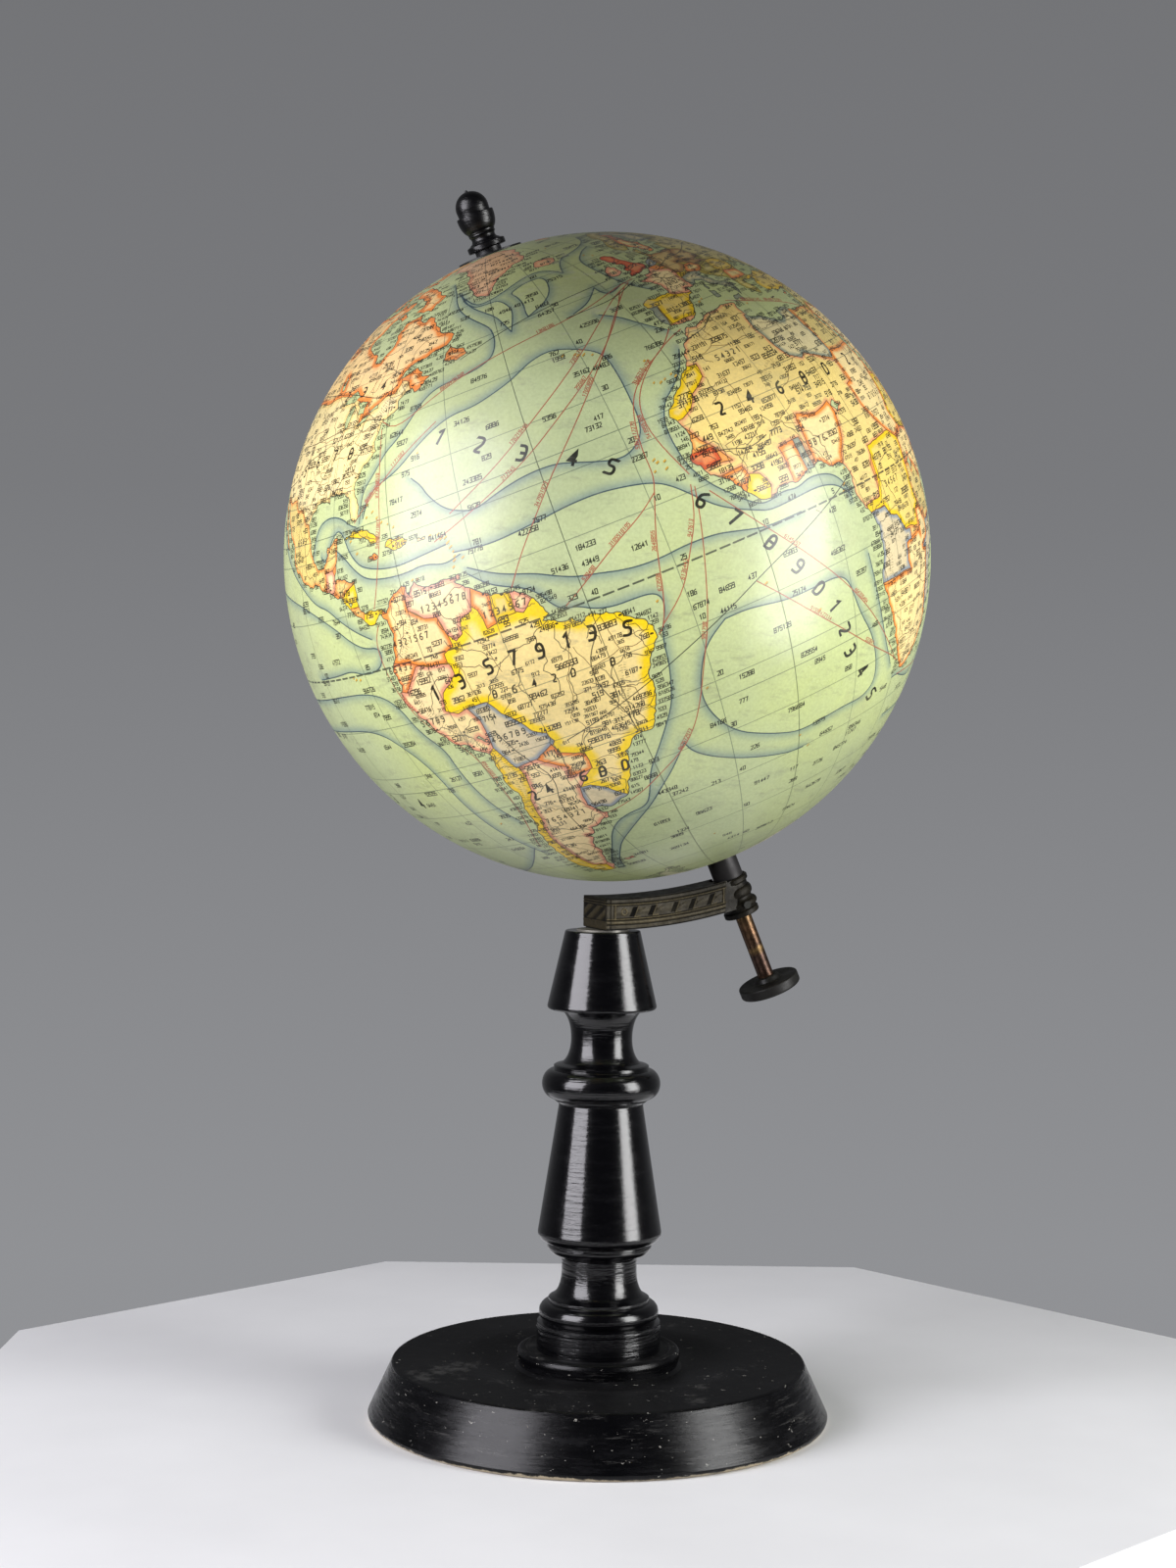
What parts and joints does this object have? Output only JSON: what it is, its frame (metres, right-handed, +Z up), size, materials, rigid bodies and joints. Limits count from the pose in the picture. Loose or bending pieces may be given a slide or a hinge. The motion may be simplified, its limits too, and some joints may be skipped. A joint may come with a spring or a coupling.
{
  "type": "terrestrial globe",
  "caption": "Tilted papered ball on a brass rod, carried by a cast arm on a turned column and round base; ball and rod turn, and the finial unscrews.",
  "frame": {"origin": "centre of the base's underside, on the column's axis", "axes": "+Z up; the arm reaches towards +X, and the north pole leans towards -X"},
  "size_m": [0.2548, 0.2548, 0.4817],
  "materials": {
    "black_lacquer": "glossy black lacquer on turned wood, finely scratched",
    "steel": "plain steel",
    "cast_bronze": "dark patinated casting with olive edges",
    "pale_washer": "dull pale metal",
    "brass": "dull brass",
    "worn_brass_rod": "worn brown brass with brighter bands",
    "dark_tube": "dark patinated tube",
    "dark_wood": "matt dark stained wood",
    "black_plate": "black painted sheet",
    "pasteboard": "plastered pasteboard",
    "linen": "unbleached linen",
    "bare_wood": "bare wood",
    "map_paper": "printed and hand-coloured paper under aged varnish"
  },
  "bodies": {
    "stand": {"base_plinth": "black_lacquer", "column": "black_lacquer", "arm_bracket": "cast_bronze", "arm_stud": "steel", "arm_washer": "pale_washer", "socket_bush": "brass", "socket_screw": "steel", "spacer_tube": "dark_tube"},
    "axle": {"axle_rod": "worn_brass_rod", "knob": "dark_wood"},
    "globe": {"north_cap_plate": "black_plate", "ball_upper_half": "pasteboard", "ball_lower_half": "pasteboard", "equator_strip": "linen", "north_pole_block": "bare_wood", "south_pole_block": "bare_wood", "inner_pillar": "bare_wood", "calotte_north": "map_paper", "calotte_south": "map_paper", "gore_01": "map_paper", "gore_02": "map_paper", "gore_03": "map_paper", "gore_04": "map_paper", "gore_05": "map_paper", "gore_06": "map_paper", "gore_07": "map_paper", "gore_08": "map_paper", "gore_09": "map_paper", "gore_10": "map_paper", "gore_11": "map_paper", "gore_12": "map_paper"},
    "nut": {"finial_nut": "brass"},
    "finial": {"finial": "black_lacquer"}
  },
  "joints": [
    {"name": "axle_turn", "type": "hinge", "parent": "stand", "child": "axle", "pos_m": [0, 0, 0.341], "axis": [-0.3979, 0, 0.9174], "continuous": true},
    {"name": "globe_spin", "type": "hinge", "parent": "axle", "child": "globe", "pos_m": [0, 0, 0.341], "axis": [-0.3979, 0, 0.9174], "continuous": true},
    {"name": "finial_lift", "type": "slide", "parent": "axle", "child": "nut", "axis": [-0.3979, 0, 0.9174], "range_m": [0, 0.008]},
    {"name": "finial_turn", "type": "hinge", "parent": "nut", "child": "finial", "pos_m": [0, 0, 0.341], "axis": [-0.3979, 0, 0.9174], "range_deg": [0, 2880]}
  ],
  "couplings": [
    {"joint": "finial_turn", "follows": "finial_lift", "rad_per_m": 6283.2}
  ]
}
